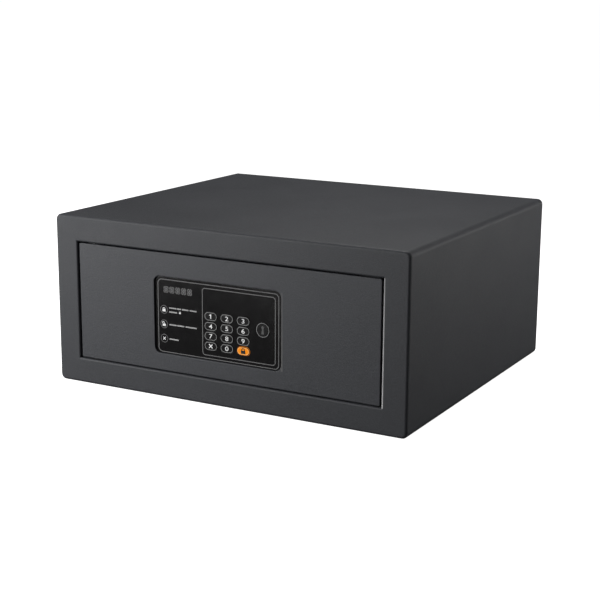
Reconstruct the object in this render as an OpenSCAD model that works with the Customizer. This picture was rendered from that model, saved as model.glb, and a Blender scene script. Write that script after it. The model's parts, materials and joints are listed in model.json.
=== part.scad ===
// Hotel in-room safe: a sheet steel cabinet whose door carries a keypad panel,
// two motor-driven bolts and a key-driven override lock.
// Front is -Y, width runs along X and the cabinet stands on Z = 0.

/* [Cabinet] */
// Outside width of the cabinet
body_w = 420; // [400:1:460]
// Outside depth of the cabinet
body_d = 370; // [330:1:420]
// Outside height of the cabinet
body_h = 185; // [185:1:230]
// Thickness of the cabinet sheet
sheet_t = 2; // [1.5:0.1:2.4]
// Radius of the four long corners, seen from the front
corner_r = 6; // [4:0.5:8]
// Radius of the folded edges round the front and the back
edge_r = 3; // [2.5:0.1:3.5]
// Width of the front frame on each side of the door opening
border_w = 28; // [26:1:30]
// Depth of the folded jamb inside the door opening
jamb_d = 14; // [10:1:14]

/* [Door] */
// Gap between door and frame on the hinge side
gap_hinge = 2.2; // [2:0.1:3]
// Gap between door and frame on the bolt side
gap_bolt = 1.8; // [1.6:0.1:2.5]
// Gap above the door
gap_top = 1.4; // [1.2:0.1:2]
// Gap below the door
gap_bottom = 1.2; // [1.1:0.1:2]
// How far the door face sits behind the frame face
door_inset = 1; // [0.5:0.1:1.5]
// Thickness of the door plate
door_t = 4; // [3:0.5:4]
// Distance of the hinge axis from the hinge edge of the door
pivot_in = 16; // [14:0.5:18]
// Distance of the hinge axis behind the door face
pivot_back = 7; // [6.8:0.1:7.4]
// Diameter of the hinge pins
pin_d = 5; // [4:0.5:5]

/* [Keypad panel] */
// Width of the panel cut-out in the door
panel_w = 153; // [150:1:156]
// Height of the panel cut-out in the door
panel_h = 83; // [80:1:84]
// Corner radius of the panel cut-out
panel_r = 7; // [5:0.5:9]
// How far the panel face sits behind the door face
panel_inset = 2; // [1:0.1:2.5]
// Width of a key
key_w = 15.4; // [14:0.1:16]
// Height of a key
key_h = 9.2; // [8:0.1:9.3]
// Distance between key columns
key_pitch_x = 19.5; // [18:0.1:20]
// Distance between key rows
key_pitch_z = 10.5; // [10.4:0.1:11]
// Travel of a key
key_travel = 0.8; // [0.4:0.1:0.9]
// Diameter of the cap over the keyhole
cap_d = 15.6; // [14:0.1:16]

/* [Bolt work] */
// Diameter of the bolts
bolt_d = 14; // [12:0.5:16]
// Distance between the two bolts
bolt_pitch = 65; // [60:1:70]
// Travel of the bolts
bolt_travel = 14; // [8:0.5:14]
// Module of the rack and pinion
tooth_module = 1; // [0.9:0.05:1]
// Number of teeth on the pinion
pinion_teeth = 12; // [12:1:12]

/* [Anchor holes] */
// Diameter of the anchor holes
anchor_d = 10; // [8:0.5:12]
// Distance between the floor anchor holes across the width
floor_pitch_x = 240; // [200:5:260]
// Distance between the floor anchor holes along the depth
floor_pitch_y = 180; // [140:5:200]
// Distance between the two back anchor holes
back_pitch_x = 240; // [200:5:260]

/* [Hidden] */
$fn = 64;
// Room between parts that only have to clear each other
slack = 0.3;
// Radial room of a shaft in its bore
running = 0.05;
// How far a cutter runs past what it cuts
cut = 1;

// Cabinet
front_y = -body_d / 2;
rear_y = body_d / 2;
lip_d = 4;
tray_h = 8;
mouth_w = body_w - 2 * border_w;
mouth_h = body_h - 2 * border_w;
mouth_z = body_h / 2;
mouth_edge_r = sheet_t;
mouth_bottom = mouth_z - mouth_h / 2;
mouth_top = mouth_z + mouth_h / 2;
mat_t = 2;
mat_hole_d = 26;
mat_gap = 4;
strike_t = 3;
strike_margin = 16;
strike_reach = 12;
strike_hole_d = bolt_d + 4;
stop_x0 = 158;
stop_x1 = 176;
stop_h = 5.4;
stop_t = 2;
stop_pad_t = 1;

// Door
door_x0 = -mouth_w / 2 + gap_hinge;
door_x1 = mouth_w / 2 - gap_bolt;
door_z0 = mouth_bottom + gap_bottom;
door_z1 = mouth_top - gap_top;
door_w = door_x1 - door_x0;
door_h = door_z1 - door_z0;
door_x = (door_x0 + door_x1) / 2;
door_z = (door_z0 + door_z1) / 2;
door_face = front_y + door_inset;
door_back = door_face + door_t;
door_corner_r = 1.5;
door_edge_r = 0.8;
pivot_x = door_x0 + pivot_in;
pivot_y = door_face + pivot_back;
pin_reach = 3;
bush_wall = 1.5;
bush_l = sheet_t + 1;
bush_flange_r = 4.8;
bush_flange_t = 0.9;
hinge_block_h = 12;
hinge_block_w = 15;
hinge_block_d = 8;

// Door cover, a pan over the works on the inside of the door
cover_x0 = -152;
cover_x1 = 172;
cover_z0 = 36;
cover_z1 = 149;
cover_t = 1.2;
cover_rear = -146;
cover_d = cover_rear - door_back;
cover_r = 5;
cover_edge_r = 1.5;
cover_screw_x = [-140, 11, 164];
cover_screw_z = [40.5, 144.5];
stud_d = 6;
screw_d = 3;
screw_head_d = 5.6;
screw_head_t = 1.6;
screw_slot_w = 0.9;
screw_slot_d = 0.8;
screw_grip = 8;

// Keypad panel
panel_x = -6.9;
panel_z = mouth_z - 3.4;
panel_face = door_face + panel_inset;
panel_edge_r = 0.8;
panel_fit = 0.3;
overlay_t = 1;
housing_face = panel_face + overlay_t;
housing_t = 1.5;
housing_wall = 2;
housing_rear = -168;
flange_out = 7;
flange_t = 2;
housing_screw_x = panel_w / 2 + flange_out / 2;
housing_screw_depth = 2.5;
key_x = panel_x - 7.6;
key_z = panel_z + 5.3;
key_names = ["1", "2", "3", "4", "5", "6", "7", "8", "9", "clear", "0", "lock"];
key_hole_gap = 0.3;
key_proud = 0.5;
key_flange_t = 1;
plunger_d = 3.5;
plunger_l = 0.3;
dome_gap = 0.5;
key_flange_w = 17.4;
key_flange_h = 10.1;
lock_x = panel_x + 54.5;
lock_z = panel_z - 1.1;
cap_skirt_d = 12.4;
cap_proud = 0.5;
display_x = panel_x - 47.4;
display_z = panel_z + 26.6;
display_w = 44;
display_h = 12;
key_flange_face = housing_face + housing_t + slack;
plunger_rear = key_flange_face + key_flange_t + plunger_l;
dome_mat_face = plunger_rear + key_travel + dome_gap;
board_face = dome_mat_face + 1.2;
board_t = 1.6;
board_rear = board_face + board_t;
board_x0 = panel_x - 72;
board_half_h = 37.5;

// Armour behind the panel
armour_x0 = -95;
armour_x1 = 81;
armour_z0 = 46;
armour_z1 = 132;
armour_t = 3;
armour_rear = -164;
lead_hole_d = 8;
lead_hole_x = [-71, 31];
lead_z = 56;

// Override lock
barrel_d = 16;
barrel_face = -178.2;
barrel_rear = -160;
plug_d = 9;
plug_rear = -157;
cam_t = 2.5;
cam_reach = 24;

// Bolt work
bolt_y = -162;
bolt_z = [mouth_z - bolt_pitch / 2, mouth_z + bolt_pitch / 2];
bolt_tip = 178.5;
bar_x0 = 124;
bar_x1 = 134;
bar_margin = 12;
bar_front = bolt_y - 6;
spigot_d = 8;
rack_y0 = -160;
rack_y1 = -152;
rack_z0 = 70;
rack_x0 = 74;
rack_root_z = 77.75;
pitch_r = tooth_module * pinion_teeth / 2;
pinion_x = 100;
pinion_z = rack_root_z + 1.25 * tooth_module + pitch_r;
rack_pitch = PI * tooth_module;
shaft_d = 5;
shaft_front = -169.5;
gearbox_x = [86, 114];
gearbox_z = [76, 112];
gearbox_rear = -164;
bracket_x = [82, 118];
bracket_z = [75, 146];
bracket_t = 1.5;
motor_d = 15;
motor_l = 30;
guide_x = bar_x1 + bolt_travel + 4;

// Batteries and reset button
cell_d = 14.4;
cell_l = 50.5;
cell_pitch = 15.5;
tray_x0 = -150.3;
tray_x1 = -95.8;
tray_z0 = 60;
tray_z1 = 125;
cell_y = -155.5;
lid_travel = 58;
lid_x0 = -150;
lid_x1 = -92;
lid_z0 = 59;
lid_z1 = 126;
lid_t = 2;
rail_w = 2;
rail_h = 3.6;
reset_x = -110;
reset_z = 138;
reset_d = 5;
reset_collar_d = 7.6;
reset_collar_face = cover_rear - 3.6;
reset_collar_t = 1.2;
reset_stem_rear = cover_rear - 5.7;
reset_stem_l = 0.8;

// Routes of the leads, with a point at each change of direction
lead_d = 2.4;
battery_route = [[-95.8, -158, 66], [-84, -158, 66], [-84, -158, 57], [-71, -159, 56], [-71, -169.3, 56]];
motor_route = [
    [31, -169.3, 56], [31, -161.5, 56], [34, -161.5, 50], [66, -161.5, 50],
    [66, -161.5, 130], [74, -164, 138], [84, -171, 138], [92.4, -171, 138]
];

// ---- Helpers ----

// Stands a front-view outline (x, z) up and extrudes it forwards from rear_face.
module slab(rear_face, depth) {
    translate([0, rear_face, 0]) rotate([90, 0, 0]) linear_extrude(depth) children();
}

// A cylinder along Y, from y0 to y1.
module rod_y(x, z, y0, y1, d) {
    translate([x, y1, z]) rotate([90, 0, 0]) cylinder(d = d, h = y1 - y0);
}

// A cylinder along X, from x0 to x1.
module rod_x(y, z, x0, x1, d) {
    translate([x0, y, z]) rotate([0, 90, 0]) cylinder(d = d, h = x1 - x0);
}

// A box given by its two opposite corners.
module block(low, high) {
    translate(low) cube(high - low);
}

module round_rect(w, h, r) {
    square([w - 2 * r, h], center = true);
    square([w, h - 2 * r], center = true);
    for (x = [-1, 1], z = [-1, 1]) {
        translate([x * (w / 2 - r), z * (h / 2 - r)]) circle(r);
    }
}

module stadium(w, h) {
    square([w - h, h], center = true);
    for (x = [-1, 1]) {
        translate([x * (w - h) / 2, 0]) circle(d = h);
    }
}

// Sweeps a profile round a rounded rectangle. The profile's x counts outwards from the corner
// centres, and its y is depth: 0 at the face, negative behind it.
module loop_sweep(w, h, r) {
    half_w = w / 2 - r;
    half_h = h / 2 - r;
    for (turn = [0:3]) {
        run_x = turn % 2 == 0 ? half_w : half_h;
        run_y = turn % 2 == 0 ? half_h : half_w;
        rotate([0, 0, 90 * turn]) {
            translate([run_x, run_y, 0]) rotate([90, 0, 0]) linear_extrude(2 * run_y) children();
            translate([run_x, run_y, 0]) rotate_extrude(angle = 90) children();
        }
    }
}

// Edge profile of a folded pan: sheet of thickness t, folded back by depth with an outside radius e.
module pan_profile(r, e, t, depth) {
    difference() {
        soft_half(r, e, depth);
        translate([-cut, -depth - cut]) square([r - t + cut, depth - e + cut]);
        translate([-cut, -e]) square([r - e + cut, e - t]);
        translate([r - e, -e]) circle(e - t);
    }
}

// A folded pan, open behind, with its face at the front.
module pan(w, h, r, e, t, depth) {
    translate([0, 0, -t]) linear_extrude(t) square([w - 2 * r, h - 2 * r], center = true);
    loop_sweep(w, h, r) pan_profile(r, e, t, depth);
}

// A flat plate with rounded corners and a rounded front edge.
module soft_plate(w, h, r, e, t) {
    translate([0, 0, -t]) linear_extrude(t) square([w - 2 * r, h - 2 * r], center = true);
    loop_sweep(w, h, r) soft_half(r, e, t);
}

// A stadium-shaped plate with a rounded front edge.
module soft_stadium(w, h, e, t) {
    r = h / 2;
    half = w / 2 - r;
    for (side = [-1, 1]) {
        translate([side * half, 0, 0]) rotate_extrude() soft_half(r, e, t);
    }
    rotate([90, 0, 90]) translate([0, 0, -half]) linear_extrude(2 * half) {
        soft_half(r, e, t);
        mirror([1, 0]) soft_half(r, e, t);
    }
}

// Half section of a plate of half-width r and thickness t, with its front edge rounded by e.
module soft_half(r, e, t) {
    translate([0, -t]) square([r, t - e]);
    translate([0, -e]) square([r - e, e]);
    intersection() {
        translate([r - e, -e]) circle(e);
        translate([r - e, -e]) square(e);
    }
}

// The cutter that rounds the front edge of a rounded-rectangle hole.
module hole_flare(w, h, r, e) {
    loop_sweep(w, h, r) {
        difference() {
            translate([0, -e]) square([r + e, e + cut]);
            translate([r + e, -e]) circle(e);
        }
    }
}

// Places a shape whose face is at Z = 0 so that the face looks forwards at y.
module face_front(x, y, z) {
    translate([x, y, z]) rotate([90, 0, 0]) children();
}

// Places a shape whose face is at Z = 0 so that the face looks backwards at y.
module face_rear(x, y, z) {
    translate([x, y, z]) rotate([-90, 0, 0]) children();
}

module cross_section(w, h, t, r) {
    difference() {
        round_rect(w, h, r);
        round_rect(w - 2 * t, h - 2 * t, r - t);
    }
}

// ---- Cabinet ----

module wrap_ring() {
    translate([0, 0, body_h / 2]) {
        slab(rear_y - lip_d, body_d - 2 * lip_d) cross_section(body_w, body_h, sheet_t, corner_r);
    }
}

module body_wrap() color([0.28, 0.28, 0.29]) {
    difference() {
        wrap_ring();
        block([-body_w, front_y - cut, -cut], [body_w, rear_y + cut, tray_h]);
    }
}

module floor_tray() color([0.27, 0.27, 0.28]) {
    difference() {
        intersection() {
            wrap_ring();
            block([-body_w, front_y - cut, -cut], [body_w, rear_y + cut, tray_h]);
        }
        for (x = [-1, 1], y = [-1, 1]) {
            translate([x * floor_pitch_x / 2, y * floor_pitch_y / 2, -cut]) {
                cylinder(d = anchor_d, h = sheet_t + 2 * cut);
            }
        }
    }
}

module back_panel() color([0.27, 0.27, 0.28]) {
    difference() {
        face_rear(0, rear_y, body_h / 2) pan(body_w, body_h, corner_r, edge_r, sheet_t, lip_d);
        for (x = [-1, 1]) {
            rod_y(x * back_pitch_x / 2, body_h / 2, rear_y - sheet_t - cut, rear_y + cut, anchor_d);
        }
    }
}

// The door opening seen along one axis: a slot whose front edge is rounded on both sides.
module mouth_slot(w) {
    translate([-w / 2, -jamb_d - cut]) square([w, jamb_d + 2 * cut]);
    flare = w / 2 + mouth_edge_r;
    difference() {
        translate([-flare, -mouth_edge_r]) square([2 * flare, mouth_edge_r + cut]);
        for (x = [-1, 1]) {
            translate([x * flare, -mouth_edge_r]) circle(mouth_edge_r);
        }
    }
}

module mouth_channel(w) {
    translate([0, body_w / 2, 0]) rotate([90, 0, 0]) linear_extrude(body_w) mouth_slot(w);
}

// The door opening, with its face at Z = 0 and a rounded front edge.
module mouth_cutter() {
    intersection() {
        mouth_channel(mouth_w);
        rotate([0, 0, 90]) mouth_channel(mouth_h);
    }
}

module front_frame() color([0.3, 0.3, 0.31]) {
    jamb_w = mouth_w + 2 * sheet_t;
    jamb_h = mouth_h + 2 * sheet_t;
    jamb_l = jamb_d - sheet_t / 2;
    difference() {
        face_front(0, front_y, body_h / 2) {
            difference() {
                union() {
                    pan(body_w, body_h, corner_r, edge_r, sheet_t, lip_d);
                    translate([0, 0, -jamb_d]) linear_extrude(jamb_l) {
                        square([jamb_w, jamb_h], center = true);
                    }
                }
                mouth_cutter();
            }
        }
        translate([pivot_x, pivot_y, mouth_bottom - sheet_t - cut]) {
            cylinder(d = pin_d + 2 * bush_wall, h = mouth_h + 2 * sheet_t + 2 * cut);
        }
    }
}

module strike_plate() color([0.62, 0.63, 0.65]) {
    x0 = mouth_w / 2 + sheet_t;
    z0 = bolt_z[0] - strike_margin;
    z1 = bolt_z[1] + strike_margin;
    difference() {
        block([x0, front_y + sheet_t, z0], [x0 + strike_t, bolt_y + strike_reach, z1]);
        for (z = bolt_z) {
            rod_x(bolt_y, z, x0 - cut, x0 + strike_t + cut, strike_hole_d);
        }
    }
}

// A flanged bush pressed into a jamb. It is drawn with its flange downwards, under Z = 0.
module hinge_bush() {
    difference() {
        union() {
            cylinder(d = pin_d + 2 * bush_wall, h = bush_l);
            translate([0, 0, -bush_flange_t]) cylinder(r = bush_flange_r, h = bush_flange_t);
        }
        translate([0, 0, -bush_flange_t - cut]) {
            cylinder(r = pin_d / 2 + running, h = bush_l + bush_flange_t + 2 * cut);
        }
    }
}

module hinge_bush_upper() color([0.1, 0.1, 0.1]) {
    translate([pivot_x, pivot_y, mouth_top]) hinge_bush();
}

module hinge_bush_lower() color([0.1, 0.1, 0.1]) {
    translate([pivot_x, pivot_y, mouth_bottom]) mirror([0, 0, 1]) hinge_bush();
}

// Tabs in the right-hand corners of the opening, behind the closed door.
module stop_shape(y0, y1) {
    block([stop_x0, y0, mouth_bottom], [stop_x1, y1, mouth_bottom + stop_h]);
    block([stop_x0, y0, mouth_top - stop_h], [stop_x1, y1, mouth_top]);
}

module door_stops() color([0.3, 0.3, 0.31]) {
    y0 = door_back + slack + stop_pad_t;
    stop_shape(y0, y0 + stop_t);
}

module stop_pads() color([0.1, 0.1, 0.1]) {
    stop_shape(door_back + slack, door_back + slack + stop_pad_t);
}

module floor_mat() color([0.4, 0.4, 0.42]) {
    x1 = body_w / 2 - sheet_t - mat_gap;
    y0 = front_y + jamb_d + mat_gap;
    y1 = rear_y - sheet_t - mat_gap;
    difference() {
        block([-x1, y0, sheet_t], [x1, y1, sheet_t + mat_t]);
        for (x = [-1, 1], y = [-1, 1]) {
            translate([x * floor_pitch_x / 2, y * floor_pitch_y / 2, 0]) {
                cylinder(d = mat_hole_d, h = sheet_t + mat_t + cut);
            }
        }
    }
}

// ---- Door ----

module door_plate() color([0.29, 0.29, 0.3]) {
    screw_front = door_back - housing_screw_depth;
    difference() {
        face_front(door_x, door_face, door_z) {
            soft_plate(door_w, door_h, door_corner_r, door_edge_r, door_t);
        }
        translate([panel_x, 0, panel_z]) {
            slab(door_back + cut, door_t + 2 * cut) round_rect(panel_w, panel_h, panel_r);
            face_front(0, door_face, 0) hole_flare(panel_w, panel_h, panel_r, panel_edge_r);
        }
        for (x = [-1, 1]) {
            rod_y(panel_x + x * housing_screw_x, panel_z, screw_front, door_back + cut, screw_d);
        }
    }
}

module hinge_blocks() color([0.5, 0.5, 0.52]) {
    x0 = pivot_x - hinge_block_w / 2;
    y0 = door_back;
    for (z = [door_z0, door_z1 - hinge_block_h]) {
        difference() {
            block([x0, y0, z], [x0 + hinge_block_w, y0 + hinge_block_d, z + hinge_block_h]);
            translate([pivot_x, pivot_y, z - cut]) cylinder(d = pin_d, h = hinge_block_h + 2 * cut);
        }
    }
}

// The pin runs from its block on the door through the bush in the jamb.
module hinge_pin() {
    chamfer = 0.6;
    straight = hinge_block_h + gap_top + sheet_t + pin_reach - chamfer;
    cylinder(d = pin_d, h = straight);
    translate([0, 0, straight]) cylinder(d1 = pin_d, d2 = pin_d - 2 * chamfer, h = chamfer);
}

module hinge_pin_upper() color([0.7, 0.7, 0.72]) {
    translate([pivot_x, pivot_y, door_z1 - hinge_block_h]) hinge_pin();
}

module hinge_pin_lower() color([0.7, 0.7, 0.72]) {
    translate([pivot_x, pivot_y, door_z0 + hinge_block_h]) mirror([0, 0, 1]) hinge_pin();
}

// Rails above and below the battery lid, with lips that hold it against the cover.
module lid_rails() {
    x0 = lid_x0 - 1;
    x1 = lid_x1 + lid_travel;
    lip_t = 1;
    lip_over = 1.2;
    top_y = cover_rear + rail_h;
    low_z = lid_z0 - slack - rail_w;
    high_z = lid_z1 + slack;
    block([x0, cover_rear, low_z], [x1, top_y, low_z + rail_w]);
    block([x0, cover_rear, high_z], [x1, top_y, high_z + rail_w]);
    block([x0, top_y - lip_t, low_z], [x1, top_y, lid_z0 + lip_over]);
    block([x0, top_y - lip_t, lid_z1 - lip_over], [x1, top_y, high_z + rail_w]);
}

module door_cover() color([0.36, 0.36, 0.38]) {
    w = cover_x1 - cover_x0;
    h = cover_z1 - cover_z0;
    x = (cover_x0 + cover_x1) / 2;
    z = (cover_z0 + cover_z1) / 2;
    window_gap = 0.5;
    difference() {
        union() {
            face_rear(x, cover_rear, z) pan(w, h, cover_r, cover_edge_r, cover_t, cover_d);
            lid_rails();
        }
        block(
            [tray_x0 + window_gap, cover_rear - 2 * cut, tray_z0 + window_gap],
            [tray_x1 - window_gap, cover_rear + cut, tray_z1 - window_gap]
        );
        for (sx = cover_screw_x, sz = cover_screw_z) {
            rod_y(sx, sz, cover_rear - 2 * cut, cover_rear + cut, screw_d + slack);
        }
        rod_y(reset_x, reset_z, cover_rear - 2 * cut, cover_rear + cut, reset_d + 2 * slack);
        for (bz = bolt_z) {
            rod_x(bolt_y, bz, cover_x1 - 2 * cut, cover_x1 + cut, bolt_d + 2);
        }
    }
}

module cover_studs() color([0.7, 0.7, 0.72]) {
    inner = cover_rear - cover_t;
    for (x = cover_screw_x, z = cover_screw_z) {
        difference() {
            rod_y(x, z, door_back, inner, stud_d);
            rod_y(x, z, inner - screw_grip, inner + cut, screw_d + 0.1);
        }
    }
}

// A pan-head screw along Y, with its head's seat at y and its shank running forwards.
module screw_from_rear(x, y, z, length) {
    difference() {
        union() {
            rod_y(x, z, y - length, y, screw_d);
            rod_y(x, z, y, y + screw_head_t, screw_head_d);
        }
        for (turn = [0, 90]) {
            translate([x, y + screw_head_t, z]) rotate([0, turn, 0]) {
                cube([0.6 * screw_head_d, 2 * screw_slot_d, screw_slot_w], center = true);
            }
        }
    }
}

module cover_screws() color([0.75, 0.75, 0.77]) {
    for (x = cover_screw_x, z = cover_screw_z) {
        screw_from_rear(x, cover_rear, z, cover_t + screw_grip - 1);
    }
}

// ---- Keypad panel ----

module key_places() {
    for (k = [0:11]) {
        translate([key_x + (k % 3) * key_pitch_x, 0, key_z - floor(k / 3) * key_pitch_z]) children();
    }
}

module keypad_housing() color([0.09, 0.09, 0.09]) {
    w = panel_w - 2 * panel_fit;
    h = panel_h - 2 * panel_fit;
    r = panel_r - panel_fit;
    wall_rear = housing_face + housing_t;
    flange_rear = door_back + flange_t;
    difference() {
        translate([panel_x, 0, panel_z]) {
            slab(housing_rear, housing_rear - housing_face) round_rect(w, h, r);
            slab(flange_rear, flange_t) round_rect(panel_w + 2 * flange_out, panel_h + 2, panel_r + 1);
        }
        translate([panel_x, 0, panel_z]) {
            slab(housing_rear + cut, housing_rear + cut - wall_rear) {
                round_rect(w - 2 * housing_wall, h - 2 * housing_wall, r - housing_wall);
            }
        }
        key_places() {
            slab(wall_rear + cut, housing_t + 2 * cut) {
                stadium(key_w + 2 * key_hole_gap, key_h + 2 * key_hole_gap);
            }
        }
        rod_y(lock_x, lock_z, housing_face - cut, wall_rear + cut, cap_skirt_d + 2 * slack);
        translate([display_x, 0, display_z]) {
            slab(wall_rear + cut, housing_t + 2 * cut) square([display_w, display_h], center = true);
        }
        for (side = [-1, 1]) {
            x = panel_x + side * housing_screw_x;
            rod_y(x, panel_z, door_back - cut, flange_rear + cut, screw_d + slack);
        }
    }
}

module keypad_face() color([0.11, 0.105, 0.11]) {
    w = panel_w - 2 * panel_fit;
    h = panel_h - 2 * panel_fit;
    difference() {
        face_front(panel_x, panel_face, panel_z) {
            soft_plate(w, h, panel_r - panel_fit, 0.4, overlay_t);
        }
        key_places() {
            slab(panel_face + overlay_t + cut, overlay_t + 2 * cut) {
                stadium(key_w + 2 * key_hole_gap, key_h + 2 * key_hole_gap);
            }
        }
        rod_y(lock_x, lock_z, panel_face - cut, panel_face + overlay_t + cut, cap_d + 2 * key_hole_gap);
    }
}

module housing_screws() color([0.75, 0.75, 0.77]) {
    for (x = [-1, 1]) {
        screw_from_rear(panel_x + x * housing_screw_x, door_back + flange_t, panel_z, flange_t + 2);
    }
}

module display_block() color([0.2, 0.2, 0.22]) {
    front = housing_face + 0.2;
    w = display_w - 1;
    h = display_h - 1;
    translate([display_x, 0, display_z]) slab(board_face, board_face - front) square([w, h], center = true);
}

module dome_mat() color([0.35, 0.35, 0.37]) {
    mat_w = 2 * key_pitch_x + 19;
    mat_h = 3 * key_pitch_z + 12;
    translate([key_x + key_pitch_x, 0, key_z - 1.5 * key_pitch_z]) {
        slab(board_face, board_face - dome_mat_face) round_rect(mat_w, mat_h, 2);
    }
}

// A component on the rear of the board, centred at x and z.
module board_component(x, z, w, h, t) {
    translate([x, 0, z]) slab(board_rear + t, t) square([w, h], center = true);
}

module control_board() color([0.1, 0.35, 0.2]) {
    board_x1 = lock_x - barrel_d / 2 - 1.5;
    hole_in = 4;
    hole_z = board_half_h - hole_in;
    buzzer_d = 12;
    buzzer_h = 4.5;
    difference() {
        block(
            [board_x0, board_face, panel_z - board_half_h],
            [board_x1, board_rear, panel_z + board_half_h]
        );
        for (x = [board_x0 + hole_in, board_x1 - hole_in], z = [-hole_z, hole_z]) {
            rod_y(x, panel_z + z, board_face - cut, board_rear + cut, screw_d);
        }
    }
    // Controller and memory
    board_component(-17, panel_z - 1, 14, 14, 1.6);
    board_component(7, panel_z - 1.5, 6, 5, 1.4);
    rod_y(-46, panel_z + 8, board_rear, board_rear + buzzer_h, buzzer_d);
    // Sockets for the leads
    for (x = lead_hole_x) {
        board_component(x, lead_z, 10, 8, 4.5);
    }
}

module armour_plate() color([0.55, 0.56, 0.58]) {
    front = armour_rear - armour_t;
    difference() {
        union() {
            block([armour_x0, front, armour_z0], [armour_x1, armour_rear, armour_z1]);
            block([armour_x0, door_back, armour_z0], [armour_x0 + armour_t, armour_rear, armour_z1]);
            block([armour_x1 - armour_t, door_back, armour_z0], [armour_x1, armour_rear, armour_z1]);
        }
        rod_y(lock_x, lock_z, front - cut, armour_rear + cut, barrel_d + slack);
        for (x = lead_hole_x) {
            rod_y(x, lead_z, front - cut, armour_rear + cut, lead_hole_d);
        }
    }
}

// One key: a stadium cap, a flange that keeps it behind the face, and its plunger.
module key_cap(k) {
    cap_front = panel_face - key_proud;
    x = key_x + (k % 3) * key_pitch_x;
    z = key_z - floor(k / 3) * key_pitch_z;
    translate([x, 0, z]) {
        face_front(0, cap_front, 0) {
            soft_stadium(key_w, key_h, 0.5, key_flange_face - cap_front);
        }
        slab(key_flange_face + key_flange_t, key_flange_t) stadium(key_flange_w, key_flange_h);
        rod_y(0, 0, key_flange_face + key_flange_t, plunger_rear, plunger_d);
    }
}

module keyhole_cap() color([0.1, 0.1, 0.105]) {
    cap_front = panel_face - cap_proud;
    disc_rear = housing_face - 0.1;
    skirt_rear = housing_face + housing_t + 0.4;
    difference() {
        union() {
            face_front(lock_x, cap_front, lock_z) {
                rotate_extrude() soft_half(cap_d / 2, 0.5, disc_rear - cap_front);
            }
            rod_y(lock_x, lock_z, disc_rear, skirt_rear, cap_skirt_d);
        }
        rod_y(lock_x, lock_z, disc_rear, skirt_rear + cut, cap_skirt_d - 2);
    }
}

// ---- Override lock ----

module lock_barrel() color([0.78, 0.78, 0.8]) {
    difference() {
        rod_y(lock_x, lock_z, barrel_face, barrel_rear, barrel_d);
        rod_y(lock_x, lock_z, barrel_face - cut, barrel_rear + cut, plug_d + 2 * running);
    }
}

module barrel_nut() color([0.7, 0.7, 0.72]) {
    nut_t = 3.5;
    across = 24;
    difference() {
        translate([lock_x, 0, lock_z]) slab(armour_rear + nut_t, nut_t) circle(d = across, $fn = 6);
        rod_y(lock_x, lock_z, armour_rear - cut, armour_rear + nut_t + cut, barrel_d + 2 * running);
    }
}

module lock_plug() color([0.8, 0.7, 0.4]) {
    keyway_w = 1.8;
    keyway_h = 6.4;
    keyway_d = 15;
    difference() {
        rod_y(lock_x, lock_z, barrel_face, plug_rear, plug_d);
        translate([lock_x, barrel_face, lock_z]) {
            cube([keyway_w, 2 * keyway_d, keyway_h], center = true);
        }
    }
}

module lock_cam() color([0.66, 0.67, 0.69]) {
    cam_w = 10;
    translate([lock_x, 0, lock_z]) slab(plug_rear + cam_t, cam_t) {
        circle(d = 13);
        translate([-cam_w / 2, 0]) square([cam_w, cam_reach - cam_w / 2]);
        translate([0, cam_reach - cam_w / 2]) circle(d = cam_w);
    }
}

// ---- Bolt work ----

module bolt_bar() color([0.6, 0.61, 0.63]) {
    z0 = bolt_z[0] - bar_margin;
    z1 = bolt_z[1] + bar_margin;
    difference() {
        union() {
            block([bar_x0, bar_front, z0], [bar_x1, rack_y1, z1]);
            block([rack_x0, rack_y0, rack_z0], [bar_x0, rack_y1, rack_root_z]);
            rack_teeth();
        }
        for (z = bolt_z) {
            rod_x(bolt_y, z, bar_x0 - cut, bar_x1 + cut, spigot_d + 2 * running);
        }
    }
}

// Teeth along the top of the rack arm. A gap between two teeth faces the pinion at rest.
module rack_teeth() {
    tip_z = rack_root_z + 2.05 * tooth_module;
    root_half = 0.55 * tooth_module + 0.5;
    tip_half = 0.3 * tooth_module;
    tooth = [[-root_half, rack_root_z], [root_half, rack_root_z], [tip_half, tip_z], [-tip_half, tip_z]];
    for (k = [-6:3]) {
        x = pinion_x + (k + 0.5) * rack_pitch;
        translate([x, 0, 0]) slab(rack_y1, rack_y1 - rack_y0) polygon(tooth);
    }
}

// One flank point of an involute tooth at radius r, turned by the given half angle.
function involute_turn(r, base_r) = let (a = acos(base_r / r)) tan(a) * 180 / PI - a;
function flank(r, base_r, half) = let (a = half - involute_turn(r, base_r)) [r * sin(a), -r * cos(a)];

module pinion_outline() {
    base_r = pitch_r * cos(20);
    tip_r = pitch_r + 0.95 * tooth_module;
    root_r = pitch_r - 1.15 * tooth_module;
    backlash_turn = 1.6;
    half = 90 / pinion_teeth + involute_turn(pitch_r, base_r) - backlash_turn;
    heel_r = 0.8 * root_r;
    heel = [heel_r * sin(half), -heel_r * cos(half)];
    steps = 5;
    radii = [for (i = [0:steps]) base_r + (tip_r - base_r) * i / steps];
    circle(root_r);
    for (k = [0:pinion_teeth - 1]) {
        rotate(k * 360 / pinion_teeth) {
            polygon(concat(
                [heel],
                [for (r = radii) flank(r, base_r, half)],
                [for (i = [0:steps]) let (p = flank(radii[steps - i], base_r, half)) [-p[0], p[1]]],
                [[-heel[0], heel[1]]]
            ));
        }
    }
}

module drive_pinion() color([0.7, 0.7, 0.72]) {
    translate([pinion_x, 0, pinion_z]) slab(rack_y1, rack_y1 - rack_y0) pinion_outline();
    rod_y(pinion_x, pinion_z, shaft_front, rack_y1, shaft_d);
}

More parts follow.
